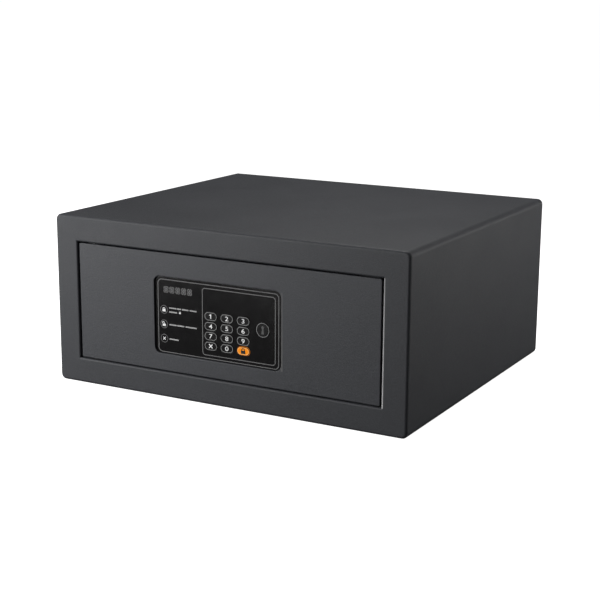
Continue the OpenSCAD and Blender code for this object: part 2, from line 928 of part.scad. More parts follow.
module lock_bolts() color([0.8, 0.81, 0.83]) {
    chamfer = 1.2;
    for (z = bolt_z) {
        rod_x(bolt_y, z, bar_x0, bar_x1, spigot_d);
        rod_x(bolt_y, z, bar_x1, bolt_tip - chamfer, bolt_d);
        translate([bolt_tip - chamfer, bolt_y, z]) rotate([0, 90, 0]) {
            cylinder(d1 = bolt_d, d2 = bolt_d - 2 * chamfer, h = chamfer);
        }
    }
}

module bolt_guide() color([0.55, 0.56, 0.58]) {
    wall_t = 4;
    foot_w = 14;
    foot_t = 2;
    margin = 12.5;
    z0 = bolt_z[0] - margin;
    z1 = bolt_z[1] + margin;
    difference() {
        union() {
            block([guide_x, door_back, z0], [guide_x + wall_t, bolt_y + 9.5, z1]);
            block([guide_x, door_back, z0], [guide_x + foot_w, door_back + foot_t, z1]);
        }
        for (z = bolt_z) {
            rod_x(bolt_y, z, guide_x - cut, guide_x + wall_t + cut, bolt_d + 2 * running);
        }
    }
}

// A channel under the rack arm, on a hollow foot.
module rack_guide() color([0.85, 0.85, 0.82]) {
    x0 = 106;
    x1 = 120;
    wall_t = 2;
    foot_t = 4;
    floor_t = 6;
    floor_z = rack_z0 - slack;
    top_z = rack_z0 + 4;
    difference() {
        block([x0, door_back, floor_z - floor_t], [x1, rack_y1 + wall_t, top_z]);
        block([x0 - cut, rack_y0 - slack, floor_z], [x1 + cut, rack_y1 + slack, top_z + cut]);
        block([x0 - cut, door_back + foot_t, floor_z], [x1 + cut, rack_y0 - wall_t, top_z + cut]);
    }
}

// A plate behind the gear motor, with a ledge over the end of the motor.
module motor_bracket() color([0.6, 0.61, 0.63]) {
    rear = door_back + bracket_t;
    ledge_top = bracket_z[1] - 1;
    ledge_rear = rear + motor_d - 1.5;
    block([bracket_x[0], door_back, bracket_z[0]], [bracket_x[1], rear, bracket_z[1]]);
    block([bracket_x[0], rear, ledge_top - bracket_t], [bracket_x[1], ledge_rear, ledge_top]);
}

module gear_motor() color([0.5, 0.5, 0.52]) {
    front = door_back + bracket_t;
    top = gearbox_z[1];
    boss_rear = gearbox_rear + 2;
    difference() {
        union() {
            block([gearbox_x[0], front, gearbox_z[0]], [gearbox_x[1], gearbox_rear, top]);
            rod_y(pinion_x, pinion_z, gearbox_rear, boss_rear, 2 * shaft_d);
            translate([pinion_x, front + motor_d / 2, top]) {
                cylinder(d = motor_d, h = motor_l);
                cylinder(d = 6, h = motor_l + 1.2);
            }
        }
        rod_y(pinion_x, pinion_z, shaft_front - 0.5, boss_rear + cut, shaft_d + 2 * running);
    }
}

// ---- Batteries and reset ----

// An open box for the cells, on two ribs that stand on the door plate.
module battery_tray() color([0.1, 0.1, 0.1]) {
    wall = 1.2;
    rib_in = 8;
    rib_t = 4;
    front = cell_y - cell_d / 2 - slack - wall;
    rear = cover_rear - cover_t - slack;
    difference() {
        union() {
            block([tray_x0, front, tray_z0], [tray_x1, rear, tray_z1]);
            for (z = [tray_z0 + rib_in, tray_z1 - rib_in - rib_t]) {
                block([tray_x0 + rib_in, door_back, z], [tray_x1 - rib_in, front, z + rib_t]);
            }
        }
        translate([wall, wall, wall]) {
            block([tray_x0, front, tray_z0], [tray_x1 - 2 * wall, rear + cut, tray_z1 - 2 * wall]);
        }
    }
}

module batteries() color([0.15, 0.35, 0.6]) {
    middle_x = (tray_x0 + tray_x1) / 2;
    middle_z = (tray_z0 + tray_z1) / 2;
    nub_d = 5.5;
    nub_l = 1;
    for (k = [0:3]) {
        z = middle_z + (k - 1.5) * cell_pitch;
        flip = k % 2 == 0 ? 1 : -1;
        translate([middle_x, cell_y, z]) rotate([0, 90 * flip, 0]) {
            translate([0, 0, -cell_l / 2]) {
                cylinder(d = cell_d, h = cell_l - nub_l);
                cylinder(d = nub_d, h = cell_l);
            }
        }
    }
}

// A flat lid with finger grooves at one end.
module battery_lid() color([0.13, 0.13, 0.135]) {
    y0 = cover_rear + slack;
    y1 = y0 + lid_t;
    groove_w = 1.5;
    groove_d = 0.6;
    groove_z = [80, 105];
    difference() {
        block([lid_x0, y0, lid_z0], [lid_x1, y1, lid_z1]);
        for (k = [2:6]) {
            x = lid_x0 + 2 * k * groove_w;
            block([x, y1 - groove_d, groove_z[0]], [x + groove_w, y1 + cut, groove_z[1]]);
        }
    }
}

module reset_switch() color([0.12, 0.12, 0.12]) {
    half = 4;
    stem_d = 3.5;
    box_rear = reset_stem_rear - reset_stem_l;
    block([reset_x - half, door_back, reset_z - half], [reset_x + half, box_rear, reset_z + half]);
    rod_y(reset_x, reset_z, box_rear, reset_stem_rear, stem_d);
}

module reset_button() color([0.7, 0.1, 0.08]) {
    proud = 0.8;
    rod_y(reset_x, reset_z, reset_collar_face, cover_rear + proud, reset_d);
    rod_y(reset_x, reset_z, reset_collar_face, reset_collar_face + reset_collar_t, reset_collar_d);
}

// Cuts the corners of a route once, so that it bends in short steps.
function eased(p) = concat(
    [p[0]],
    [for (i = [0:len(p) - 2], t = [0.25, 0.75]) p[i] * (1 - t) + p[i + 1] * t],
    [p[len(p) - 1]]
);
function unit(v) = v / norm(v);

// A round lead swept along a route.
module lead(route, d) {
    sides = 8;
    p = eased(eased(route));
    last = len(p) - 1;
    rings = [for (i = [0:last]) let (
        along = unit(p[min(i + 1, last)] - p[max(i - 1, 0)]),
        u = unit(cross(along, [1, 1, 1])),
        v = cross(along, u)
    ) for (k = [0:sides - 1]) p[i] + d / 2 * (cos(360 * k / sides) * u + sin(360 * k / sides) * v)];
    walls = [for (i = [0:last - 1], k = [0:sides - 1]) let (
        a = i * sides + k,
        b = i * sides + (k + 1) % sides
    ) [a, a + sides, b + sides, b]];
    start = [for (k = [0:sides - 1]) k];
    end = [for (k = [0:sides - 1]) last * sides + sides - 1 - k];
    polyhedron(rings, concat([start, end], walls));
}

module battery_leads() color([0.6, 0.08, 0.06]) {
    lead(battery_route, lead_d);
}

module motor_leads() color([0.1, 0.1, 0.1]) {
    lead(motor_route, lead_d);
}

// ---- Output ----

body_wrap();
floor_tray();
back_panel();
front_frame();
strike_plate();
hinge_bush_upper();
hinge_bush_lower();
door_stops();
stop_pads();
floor_mat();
door_plate();
hinge_blocks();
hinge_pin_upper();
hinge_pin_lower();
door_cover();
cover_studs();
cover_screws();
keypad_housing();
keypad_face();
housing_screws();
display_block();
dome_mat();
control_board();
armour_plate();
lock_barrel();
barrel_nut();
lock_plug();
lock_cam();
keyhole_cap();
bolt_bar();
lock_bolts();
bolt_guide();
rack_guide();
motor_bracket();
gear_motor();
drive_pinion();
battery_tray();
batteries();
battery_lid();
reset_switch();
reset_button();
battery_leads();
motor_leads();
for (k = [0:11]) {
    union() {
        color(key_names[k] == "lock" ? [0.95, 0.5, 0.08] : [0.13, 0.13, 0.135]) key_cap(k);
    }
}
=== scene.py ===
"""The looks of a hotel in-room safe: a charcoal powder-coated cabinet whose door carries a keypad panel.

The front faces -Y. Every place is worked out from the CAD frame, in metres, and MM turns millimetres
into metres. Printing is drawn in millimetres about the middle of the face it lies on.
"""

import json
import math

import bmesh
import bpy
from mathutils import Matrix, Vector, noise


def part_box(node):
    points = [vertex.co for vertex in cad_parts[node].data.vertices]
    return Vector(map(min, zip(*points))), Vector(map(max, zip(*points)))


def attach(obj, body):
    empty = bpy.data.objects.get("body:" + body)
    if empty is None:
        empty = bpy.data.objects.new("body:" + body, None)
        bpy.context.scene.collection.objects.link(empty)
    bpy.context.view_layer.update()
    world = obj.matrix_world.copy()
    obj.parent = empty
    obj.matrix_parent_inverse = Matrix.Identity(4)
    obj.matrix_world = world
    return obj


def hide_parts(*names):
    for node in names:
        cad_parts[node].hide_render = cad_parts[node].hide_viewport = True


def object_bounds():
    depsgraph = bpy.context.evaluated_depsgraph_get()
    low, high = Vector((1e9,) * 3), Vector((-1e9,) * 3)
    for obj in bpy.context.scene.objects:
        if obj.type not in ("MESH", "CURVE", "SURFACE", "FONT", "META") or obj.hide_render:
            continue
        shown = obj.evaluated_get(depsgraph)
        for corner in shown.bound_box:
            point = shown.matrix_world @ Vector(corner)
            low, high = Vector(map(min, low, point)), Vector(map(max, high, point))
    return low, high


MM = 0.001
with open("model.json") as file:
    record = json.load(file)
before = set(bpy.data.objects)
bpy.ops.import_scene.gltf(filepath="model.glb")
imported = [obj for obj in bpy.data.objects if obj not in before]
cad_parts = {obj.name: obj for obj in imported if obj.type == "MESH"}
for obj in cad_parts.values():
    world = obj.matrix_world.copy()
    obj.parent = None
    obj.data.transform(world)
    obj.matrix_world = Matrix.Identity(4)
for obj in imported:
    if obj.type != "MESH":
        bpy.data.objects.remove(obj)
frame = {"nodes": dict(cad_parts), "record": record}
cad_low, cad_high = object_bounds()
middle = (cad_low + cad_high) / 2
scene = bpy.context.scene


# ---- General helpers ----

def direction(azimuth, elevation):
    """The unit vector towards an azimuth, counted from the front towards +X, and an elevation."""
    flat = math.cos(elevation)
    return Vector((math.sin(azimuth) * flat, -math.cos(azimuth) * flat, math.sin(elevation)))


def shade(colour, factor):
    return tuple(c * factor for c in colour)


def add_object(name, data):
    """A new object in the scene."""
    made = bpy.data.objects.new(name, data)
    scene.collection.objects.link(made)
    return made


def add_mesh(name, mesh, material):
    """A new object made of a bmesh, which is used up, with all its faces turned outwards."""
    bmesh.ops.recalc_face_normals(mesh, faces=mesh.faces)
    data = bpy.data.meshes.new(name)
    mesh.to_mesh(data)
    mesh.free()
    data.materials.append(material)
    return add_object(name, data)


# ---- Camera ----

CAMERA_AZIMUTH = math.radians(28.89)
CAMERA_ELEVATION = math.radians(13.22)
CAMERA_ROLL = math.radians(0.36)
CAMERA_DISTANCE = 1.5614
CAMERA_LENS = 82.51
# How far the view's centre line passes beside and above the middle of the cabinet
CAMERA_ASIDE = -0.0092
CAMERA_ABOVE = -0.0154


def make_camera():
    """Looks at the cabinet from the front right and a little above."""
    back = direction(CAMERA_AZIMUTH, CAMERA_ELEVATION)
    right = Vector((math.cos(CAMERA_AZIMUTH), math.sin(CAMERA_AZIMUTH), 0))
    right = Matrix.Rotation(CAMERA_ROLL, 3, back) @ right
    up = back.cross(right)
    data = bpy.data.cameras.new("camera")
    data.lens = CAMERA_LENS
    data.clip_start = 0.01
    camera = add_object("camera", data)
    place = middle + CAMERA_ASIDE * right + CAMERA_ABOVE * up + CAMERA_DISTANCE * back
    rotation = Matrix((right, up, back)).transposed()
    camera.matrix_world = Matrix.Translation(place) @ rotation.to_4x4()
    scene.camera = camera


# ---- Node helpers ----

class Finish:
    """A material with a Principled shader, and the nodes that feed it. Sizes are in metres."""

    def __init__(self, name, **constants):
        self.material = bpy.data.materials.new(name)
        self.material.use_nodes = True
        self.tree = self.material.node_tree
        self.shader = self.tree.nodes["Principled BSDF"]
        self.place = self.tree.nodes.new("ShaderNodeTexCoord").outputs["Object"]
        for socket, value in constants.items():
            self.shader.inputs[socket.replace("_", " ")].default_value = value

    def link(self, value, socket):
        """Feeds a socket from another one, or sets it to a constant."""
        if isinstance(value, bpy.types.NodeSocket):
            self.tree.links.new(value, socket)
        else:
            socket.default_value = value

    def set(self, socket, value):
        self.link(value, self.shader.inputs[socket])

    def math(self, operation, a, b=0.0):
        node = self.tree.nodes.new("ShaderNodeMath")
        node.operation = operation
        self.link(a, node.inputs[0])
        self.link(b, node.inputs[1])
        return node.outputs[0]

    def product(self, *values):
        total = values[0]
        for value in values[1:]:
            total = self.math("MULTIPLY", total, value)
        return total

    def weighted(self, *terms):
        """The sum of values that each come with a weight."""
        parts = [self.math("MULTIPLY", value, weight) for value, weight in terms]
        total = parts[0]
        for part in parts[1:]:
            total = self.math("ADD", total, part)
        return total

    def scaled_place(self, size, stretch, seed=0.0):
        """Object coordinates counted in sizes, scaled along each axis by stretch and moved by the seed."""
        mapping = self.tree.nodes.new("ShaderNodeMapping")
        mapping.inputs["Location"].default_value = (seed, seed * 1.7, seed * 2.3)
        mapping.inputs["Scale"].default_value = [s / size for s in stretch]
        self.link(self.place, mapping.inputs["Vector"])
        return mapping.outputs[0]

    def noise(self, size, detail=2.0, stretch=(1, 1, 1), seed=0.0):
        """Noise whose blotches are about that size, from about 0.2 to 0.8."""
        node_place = self.scaled_place(size, stretch, seed)
        node = self.tree.nodes.new("ShaderNodeTexNoise")
        node.inputs["Scale"].default_value = 1.0
        node.inputs["Detail"].default_value = detail
        self.link(node_place, node.inputs["Vector"])
        return node.outputs["Fac"]

    def cells(self, size, feature="F1", stretch=(1, 1, 1)):
        """A Voronoi pattern whose cells are about that size."""
        node_place = self.scaled_place(size, stretch)
        node = self.tree.nodes.new("ShaderNodeTexVoronoi")
        node.feature = feature
        node.inputs["Scale"].default_value = 1.0
        self.link(node_place, node.inputs["Vector"])
        return node

    def remap(self, value, low, high, to_low=0.0, to_high=1.0):
        node = self.tree.nodes.new("ShaderNodeMapRange")
        self.link(value, node.inputs["Value"])
        node.inputs["From Min"].default_value = low
        node.inputs["From Max"].default_value = high
        node.inputs["To Min"].default_value = to_low
        node.inputs["To Max"].default_value = to_high
        return node.outputs["Result"]

    def blend(self, factor, a, b):
        """Colour a where factor is 0 and b where it is 1."""
        node = self.tree.nodes.new("ShaderNodeMix")
        node.data_type = "RGBA"
        self.link(factor, node.inputs["Factor"])
        for value, socket in ((a, node.inputs[6]), (b, node.inputs[7])):
            self.link(value if isinstance(value, bpy.types.NodeSocket) else (*value, 1), socket)
        return node.outputs[2]

    def bump(self, height, depth, normal=None):
        """A normal roughened by height, whose full range stands that deep."""
        node = self.tree.nodes.new("ShaderNodeBump")
        node.inputs["Distance"].default_value = depth
        self.link(height, node.inputs["Height"])
        if normal is not None:
            self.link(normal, node.inputs["Normal"])
        return node.outputs["Normal"]

    def soft_edges(self, radius):
        """A normal that rounds sharp edges over that radius."""
        node = self.tree.nodes.new("ShaderNodeBevel")
        node.samples = 4
        node.inputs["Radius"].default_value = radius
        return node.outputs["Normal"]

    def edge_mask(self, radius):
        """1 on edges sharper than that radius, 0 on flat faces."""
        rounded = self.soft_edges(radius)
        geometry = self.tree.nodes.new("ShaderNodeNewGeometry")
        dot = self.tree.nodes.new("ShaderNodeVectorMath")
        dot.operation = "DOT_PRODUCT"
        self.link(rounded, dot.inputs[0])
        self.link(geometry.outputs["Normal"], dot.inputs[1])
        return self.remap(dot.outputs["Value"], 0.995, 0.85)

    def worn(self, body, radius, strength, pale):
        """The body colour with its sharp edges rubbed towards a pale one."""
        return self.blend(self.product(self.edge_mask(radius), strength), body, pale)

    def axis(self, name):
        """Object coordinate x, y or z."""
        node = self.tree.nodes.new("ShaderNodeSeparateXYZ")
        self.link(self.place, node.inputs[0])
        return node.outputs[name.upper()]


# ---- Finishes ----

# A painted highlight line on an upright edge: its middle beside the edge, half its width, how far back it
# reaches, how softly it ends, and the height of its brighter foot
HIGHLIGHT_ASIDE = 0.9 * MM
HIGHLIGHT_HALF_WIDTH = 0.8 * MM
HIGHLIGHT_DEPTH = 0.7 * MM
HIGHLIGHT_SOFT = 0.5 * MM
HIGHLIGHT_FOOT = 22 * MM


def painted_edge_highlight(f, x, y, low_z, high_z):
    """1 on an upright front edge at x, where the painted highlight lies; stronger low down."""
    across = f.math("ABSOLUTE", f.math("SUBTRACT", f.axis("x"), x + HIGHLIGHT_ASIDE))
    line = f.remap(across, HIGHLIGHT_HALF_WIDTH + HIGHLIGHT_SOFT, HIGHLIGHT_HALF_WIDTH)
    front = f.remap(f.axis("y"), y + HIGHLIGHT_DEPTH + HIGHLIGHT_SOFT, y + HIGHLIGHT_DEPTH)
    bottom = f.remap(f.axis("z"), low_z, low_z + MM)
    top = f.remap(f.axis("z"), high_z, high_z - MM)
    fade = f.remap(f.axis("z"), low_z, high_z, 1.0, 0.55)
    foot = f.remap(f.axis("z"), low_z, low_z + HIGHLIGHT_FOOT, 1.35, 1.0)
    patchy = f.remap(f.noise(0.012, 3.0, stretch=(1, 1, 0.3), seed=12.0), 0.3, 0.6, 0.7, 1.0)
    return f.product(line, front, bottom, top, fade, foot, patchy)


def powder_coat(name, colour, grain, gloss=0.5, line=None, highlight_grey=0.0):
    """Fine textured powder coat: a grainy surface with faint mottling, rubbed a little on its edges.

    line is the place of one upright edge that carries a painted highlight, and the last argument sets how
    pale that painted highlight is.
    """
    f = Finish(name, Specular_IOR_Level=0.42)
    fine = f.noise(grain, 2.0)
    coarse = f.noise(3.2 * grain, 2.0, seed=4.0)
    cloud = f.noise(0.07, 3.0, seed=9.0)
    mottle = f.weighted((fine, 0.6), (coarse, 0.4))
    body = f.blend(f.remap(mottle, 0.34, 0.66), shade(colour, 0.80), shade(colour, 1.18))
    body = f.blend(f.remap(cloud, 0.35, 0.65, 0.0, 0.22), body, shade(colour, 1.22))
    rubbed = f.remap(f.noise(0.004, 3.0, seed=2.0), 0.46, 0.68, 0.0, 0.35)
    body = f.worn(body, 0.0009, rubbed, shade(colour, 2.2))
    # A painted highlight along that one upright edge
    if line:
        body = f.blend(painted_edge_highlight(f, *line), body, (highlight_grey, highlight_grey, highlight_grey))
    f.set("Base Color", body)
    haze = f.weighted((coarse, 1.0), (cloud, 0.5))
    f.set("Roughness", f.remap(haze, 0.5, 1.0, gloss - 0.05, gloss + 0.08))
    height = f.weighted((fine, 1.0), (coarse, 0.8))
    f.set("Normal", f.bump(height, 0.00016, f.soft_edges(0.0004)))
    return f.material


def plated_steel(name, colour, roughness):
    """Dull zinc plating: faint crystals, a cloudy haze and brighter rubbed edges."""
    f = Finish(name, Metallic=1.0)
    tint = f.tree.nodes.new("ShaderNodeSeparateColor")
    f.link(f.cells(0.006).outputs["Color"], tint.inputs[0])
    crystal = f.remap(tint.outputs[0], 0.0, 1.0, 0.0, 0.35)
    cloud = f.noise(0.02, 4.0)
    body = f.blend(crystal, shade(colour, 0.86), shade(colour, 1.08))
    body = f.blend(f.remap(cloud, 0.4, 0.66, 0.0, 0.35), body, shade(colour, 0.68))
    f.set("Base Color", f.worn(body, 0.0006, 0.5, shade(colour, 1.3)))
    f.set("Roughness", f.remap(cloud, 0.3, 0.7, roughness - 0.07, roughness + 0.12))
    grain = f.noise(0.0012, 3.0, stretch=(1, 1, 0.15))
    f.set("Normal", f.bump(grain, 0.00003, f.soft_edges(0.0003)))
    return f.material


def turned_metal(name, colour, roughness, stretch):
    """Bright machined metal with fine tool marks; stretch says which way the marks run."""
    f = Finish(name, Metallic=1.0)
    marks = f.noise(0.0006, 2.0, stretch=stretch)
    stain = f.noise(0.011, 4.0, seed=3.0)
    body = f.blend(f.remap(stain, 0.42, 0.7, 0.0, 0.4), colour, shade(colour, 0.72))
    f.set("Base Color", f.worn(body, 0.0004, 0.4, shade(colour, 1.2)))
    haze = f.math("ADD", marks, stain)
    f.set("Roughness", f.remap(haze, 0.7, 1.3, roughness - 0.06, roughness + 0.1))
    f.set("Normal", f.bump(marks, 0.00002, f.soft_edges(0.0003)))
    return f.material


DUST_GREY = 0.25


def moulded_plastic(name, colour, roughness, grain, depth, dust=0.12):
    """Moulded plastic with a fine spark-eroded texture, dusty hollows and shinier worn edges."""
    f = Finish(name)
    texture = f.noise(grain, 2.0)
    haze = f.noise(0.03, 4.0, seed=5.0)
    dusty = tuple(0.8 * c + 0.2 * DUST_GREY for c in colour)
    body = f.blend(f.remap(texture, 0.35, 0.65), shade(colour, 0.85), shade(colour, 1.15))
    body = f.blend(f.remap(haze, 0.45, 0.75, 0.0, dust), body, dusty)
    f.set("Base Color", f.worn(body, 0.0004, 0.25, shade(dusty, 1.5)))
    f.set("Roughness", f.remap(haze, 0.3, 0.7, roughness - 0.05, roughness + 0.09))
    f.set("Normal", f.bump(texture, depth, f.soft_edges(0.0003)))
    return f.material


def gloss_film(name, colour, roughness, speckle=0.12, glow=0.0):
    """A glossy printed plastic film or key: almost smooth, with faint waviness and fingerprints.

    glow is a painted glow: emission that brightens the colour, though the part is no lamp.
    """
    f = Finish(name, Specular_IOR_Level=0.5, Emission_Color=(*colour, 1), Emission_Strength=glow)
    prints = f.noise(0.009, 5.0, seed=6.0)
    wave = f.noise(0.016, 1.0, seed=1.0)
    dots = f.noise(0.0007, 2.0)
    body = f.blend(f.remap(dots, 0.3, 0.7), shade(colour, 1.0 - speckle), shade(colour, 1.0 + speckle))
    f.set("Base Color", f.worn(body, 0.0004, 0.3, shade(colour, 1.6)))
    f.set("Roughness", f.remap(prints, 0.42, 0.68, roughness, roughness + 0.035))
    height = f.weighted((wave, 1.0), (dots, 0.04))
    f.set("Normal", f.bump(height, 0.00004, f.soft_edges(0.0002)))
    return f.material


def silicone(name, colour):
    """Matt rubber with a bloom of dust."""
    f = Finish(name, Specular_IOR_Level=0.3)
    bloom = f.noise(0.012, 4.0)
    pores = f.noise(0.0008, 2.0, seed=2.0)
    dusty = tuple(c + 0.035 for c in colour)
    f.set("Base Color", f.blend(f.remap(bloom, 0.4, 0.7, 0.0, 0.3), colour, dusty))
    f.set("Roughness", f.remap(pores, 0.3, 0.7, 0.68, 0.85))
    f.set("Normal", f.bump(pores, 0.00005, f.soft_edges(0.0004)))
    return f.material


def needle_felt(name, colour):
    """Needle-punched felt: matted fibres running every way, with a regular pattern of needle marks."""
    f = Finish(name, Roughness=0.95, Specular_IOR_Level=0.15, Sheen_Weight=0.35, Sheen_Roughness=0.6)
    fibre_x = f.noise(0.0009, 4.0, stretch=(0.16, 1, 1))
    fibre_y = f.noise(0.0009, 4.0, stretch=(1, 0.16, 1), seed=3.0)
    fibres = f.math("MAXIMUM", fibre_x, fibre_y)
    lumps = f.noise(0.006, 3.0, seed=8.0)
    needles = f.cells(0.0024).outputs["Distance"]
    worn = f.noise(0.09, 3.0, seed=5.0)
    body = f.blend(f.remap(fibres, 0.42, 0.75), shade(colour, 0.55), shade(colour, 1.7))
    body = f.blend(f.remap(lumps, 0.4, 0.65, 0.0, 0.4), body, shade(colour, 0.75))
    pale = tuple(c + 0.02 for c in colour)
    f.set("Base Color", f.blend(f.remap(worn, 0.45, 0.68, 0.0, 0.3), body, pale))
    f.set("Normal", f.bump(f.weighted((fibres, 0.5), (lumps, 0.6), (needles, 0.35)), 0.0006))
    return f.material


# How far the parts on the rear of the control board stand out
BOARD_PARTS = 4.4 * MM
MASK_GREEN = (0.012, 0.09, 0.035)
MASK_DARK = (0.01, 0.07, 0.03)
TRACK_GREEN = (0.03, 0.19, 0.06)


def circuit_board(name):
    """Green solder mask with copper tracks under it, and black parts on the rear."""
    f = Finish(name, Specular_IOR_Level=0.5)
    on_parts = f.math("GREATER_THAN", f.axis("y"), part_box("control_board")[1].y - BOARD_PARTS)
    tracks = f.cells(0.004, "DISTANCE_TO_EDGE", stretch=(1, 0.01, 1)).outputs["Distance"]
    mask = f.remap(f.noise(0.002, 3.0), 0.4, 0.6, 0.0, 0.3)
    green = f.blend(f.math("LESS_THAN", tracks, 0.09), MASK_GREEN, TRACK_GREEN)
    green = f.blend(mask, green, MASK_DARK)
    speckle = f.remap(f.noise(0.0006, 2.0), 0.3, 0.7)
    black = f.blend(speckle, (0.008, 0.008, 0.009), (0.03, 0.03, 0.032))
    f.set("Base Color", f.blend(on_parts, green, black))
    f.set("Roughness", f.remap(on_parts, 0.0, 1.0, 0.28, 0.6))
    f.set("Normal", f.bump(f.remap(tracks, 0.06, 0.12, 1.0, 0.0), 0.00003, f.soft_edges(0.0002)))
    return f.material


def printing_ink(name, colour, glow):
    """Screen-printed ink: satin, with the faint grain of the mesh it was printed through.

    glow is a painted glow: emission that brightens the ink, with no lamp behind the panel.
    """
    f = Finish(name, Specular_IOR_Level=0.35, Emission_Color=(*colour, 1), Emission_Strength=glow)
    grain = f.noise(0.0003, 2.0)
    patch = f.noise(0.004, 3.0, seed=7.0)
    body = f.blend(f.remap(grain, 0.35, 0.65), shade(colour, 0.9), shade(colour, 1.06))
    f.set("Base Color", f.blend(f.remap(patch, 0.42, 0.7, 0.0, 0.25), body, shade(colour, 0.82)))
    f.set("Roughness", f.remap(grain, 0.3, 0.7, 0.42, 0.58))
    f.set("Normal", f.bump(grain, 0.00001))
    return f.material


def motor_casing(name, colour):
    """Drawn and die-cast motor parts: satin metal with faint rings and an oily haze."""
    f = Finish(name, Metallic=1.0)
    rings = f.noise(0.0012, 2.0, stretch=(0.1, 0.1, 1))
    haze = f.noise(0.013, 4.0, seed=4.0)
    f.set("Base Color", f.blend(f.remap(haze, 0.4, 0.7, 0.0, 0.5), colour, shade(colour, 0.55)))
    f.set("Roughness", f.remap(haze, 0.3, 0.7, 0.3, 0.48))
    f.set("Normal", f.bump(rings, 0.00003, f.soft_edges(0.0004)))
    return f.material


# ---- Materials ----

CHARCOAL = (0.0485, 0.0507, 0.057)
DOOR_CHARCOAL = shade(CHARCOAL, 1.14)
COVER_GREY = (0.110, 0.112, 0.118)
ZINC = (0.56, 0.57, 0.60)
STEEL = (0.66, 0.66, 0.68)
CHROME = (0.74, 0.75, 0.77)
BRASS = (0.72, 0.52, 0.23)
MOTOR_GREY = (0.45, 0.45, 0.47)
FELT_GREY = (0.14, 0.142, 0.15)
RUBBER = (0.028, 0.028, 0.030)
LEAD_BLACK = (0.016, 0.016, 0.017)
MOULDED_BLACK = (0.018, 0.018, 0.019)
NYLON = (0.68, 0.66, 0.60)
RED = (0.42, 0.016, 0.012)
PANEL_BLACK = (0.012, 0.0115, 0.012)
KEY_BLACK = shade(PANEL_BLACK, 0.6)
ORANGE = (0.98, 0.29, 0.008)
WINDOW_GREY = (0.02, 0.02, 0.022)
CELL_BLUE = (0.03, 0.09, 0.26)
CELL_COPPER = (0.62, 0.36, 0.12)
CELL_STEEL = (0.70, 0.70, 0.71)

# The coats' grain, in metres
COAT_GRAIN = 0.00055
COVER_GRAIN = 0.0008
# Gaps beside the door in the mouth and beside the panel in its window
DOOR_GAP = 1.8 * MM
PANEL_GAP = 0.3 * MM

# Colour and painted glow of each ink
INKS = {
    "ink_grey": ((0.21, 0.208, 0.21), 0.0),
    "ink_ring": ((0.30, 0.30, 0.30), 0.0),
    "ink_white": ((0.90, 0.90, 0.90), 0.2),
    "ink_pale": ((0.52, 0.52, 0.52), 0.0),
    "ink_dim": ((0.25, 0.25, 0.25), 0.0),
    "ink_faint": ((0.13, 0.13, 0.13), 0.0),
    "ink_black": ((0.012, 0.012, 0.012), 0.0),
    "ink_amber": ((0.95, 0.46, 0.13), 0.3),
}


def make_slot_materials():
    """One finished material for each material slot in the record, by the slot's name."""
    door_low, door_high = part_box("door_plate")
    panel_low, panel_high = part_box("keypad_face")
    # The mouth's latch-side edge and the right edge of the panel's window each carry a painted highlight
    # line
    mouth_highlight_edge = (door_high.x + DOOR_GAP, cad_low.y, door_low.z - DOOR_GAP, door_high.z + DOOR_GAP)
    window_highlight_edge = (panel_high.x + PANEL_GAP, door_low.y, panel_low.z, panel_high.z)
    finishes = [
        powder_coat("cabinet_coat", CHARCOAL, COAT_GRAIN, line=mouth_highlight_edge, highlight_grey=0.60),
        powder_coat("door_coat", DOOR_CHARCOAL, COAT_GRAIN, gloss=0.48, line=window_highlight_edge, highlight_grey=0.12),
        powder_coat("cover_coat", COVER_GREY, COVER_GRAIN, gloss=0.6),
        plated_steel("zinc_steel", ZINC, 0.38),
        turned_metal("bright_steel", STEEL, 0.24, (0.08, 1, 1)),
        turned_metal("chromed_zinc", CHROME, 0.16, (1, 0.1, 1)),
        turned_metal("brass_parts", BRASS, 0.28, (1, 1, 0.1)),
        needle_felt("mat_felt", FELT_GREY),
        silicone("soft_rubber", RUBBER),
        moulded_plastic("black_plastic", MOULDED_BLACK, 0.48, 0.0006, 0.00005),
        gloss_film("panel_gloss", PANEL_BLACK, 0.16),
        gloss_film("key_black", KEY_BLACK, 0.24),
        # The orange key's glow is a painted glow that brightens it
        gloss_film("key_orange", ORANGE, 0.22, speckle=0.05, glow=0.32),
        gloss_film("display_grey", WINDOW_GREY, 0.14),
        circuit_board("board_green"),
        motor_casing("motor_grey", MOTOR_GREY),
        moulded_plastic("nylon_white", NYLON, 0.42, 0.0012, 0.00004, dust=0.3),
        gloss_film("cell_wrap", CELL_BLUE, 0.22),
        moulded_plastic("red_plastic", RED, 0.36, 0.0008, 0.00002),
        silicone("lead_black", LEAD_BLACK),
    ]
    return {material.name: material for material in finishes}


def dress_nodes(materials):
    """Gives each CAD node the finish of its slot."""
    for part in frame["record"]["subparts"]:
        node = frame["nodes"][part["node"]]
        node.data.materials.clear()
        node.data.materials.append(materials[part["material_slot"]])


# ---- Printing ----

INK_PROUD = 0.05 * MM
INK_SUNK = 0.01 * MM
ARC_STEP = math.radians(9)


def arc(x, z, r, start, end):
    """Points along an arc, with angles in degrees."""
    start = math.radians(start)
    end = math.radians(end)
    count = max(2, round(abs(end - start) / ARC_STEP))
    turns = [start + (end - start) * k / count for k in range(count + 1)]
    return [(x + r * math.cos(t), z + r * math.sin(t)) for t in turns]


def round_rect(x0, z0, x1, z1, r):
    """A closed outline, anticlockwise from its right-hand side."""
    return (
        arc(x1 - r, z1 - r, r, 0, 90)
        + arc(x0 + r, z1 - r, r, 90, 180)
        + arc(x0 + r, z0 + r, r, 180, 270)
        + arc(x1 - r, z0 + r, r, 270, 360)
    )


